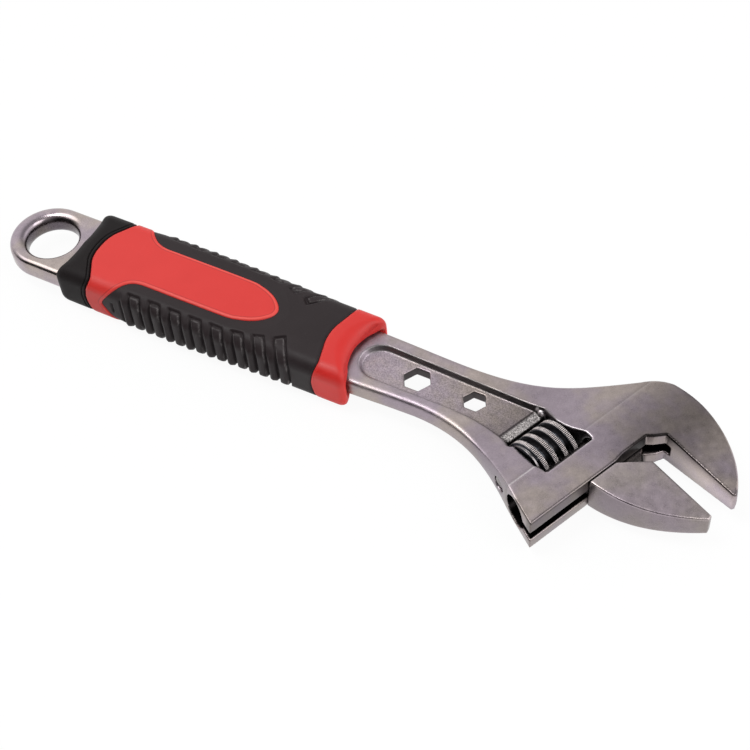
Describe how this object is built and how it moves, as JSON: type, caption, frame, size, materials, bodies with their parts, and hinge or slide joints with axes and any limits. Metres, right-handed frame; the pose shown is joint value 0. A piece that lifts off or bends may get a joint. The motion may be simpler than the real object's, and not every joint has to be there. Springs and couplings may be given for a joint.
{
  "type": "adjustable wrench",
  "caption": "Adjustable wrench with a worm-driven sliding lower jaw, a slim recessed shank with hex key holes, a hanging ring and a two-colour ribbed grip.",
  "frame": {"origin": "centre of the hanging hole, on the mid-plane of the wrench", "axes": "+X along the handle towards the head, +Z out of the top face of the wrench lying flat; the jaws point 22.5 degrees from +X towards -Y"},
  "size_m": [0.2498, 0.0626, 0.0166],
  "materials": {
    "forged_steel": "satin chrome over a forged surface",
    "jaw_steel": "satin, fine blasted grain",
    "worm_steel": "dark, knurled crests",
    "pin_steel": "satin",
    "spring_steel": "drawn wire",
    "red_plastic": "fine matt",
    "black_rubber": "matt"
  },
  "bodies": {
    "handle": {"wrench_body": "forged_steel", "worm_pin": "pin_steel", "worm_spring": "spring_steel", "grip_core": "red_plastic", "grip_sleeve": "black_rubber", "grip_rear_band": "black_rubber"},
    "jaw": {"movable_jaw": "jaw_steel"},
    "worm": {"adjusting_worm": "worm_steel"}
  },
  "joints": [
    {"name": "jaw_slide", "type": "slide", "parent": "handle", "child": "jaw", "axis": [-0.3827, -0.9239, 0], "range_m": [-0.0092, 0.0203]},
    {"name": "worm_turn", "type": "hinge", "parent": "handle", "child": "worm", "pos_m": [0.18317, -0.00214, 0], "axis": [0.3827, 0.9239, 0], "range_deg": [-896, 1976]}
  ],
  "couplings": [
    {"joint": "worm_turn", "follows": "jaw_slide", "rad_per_m": 1698.2}
  ]
}
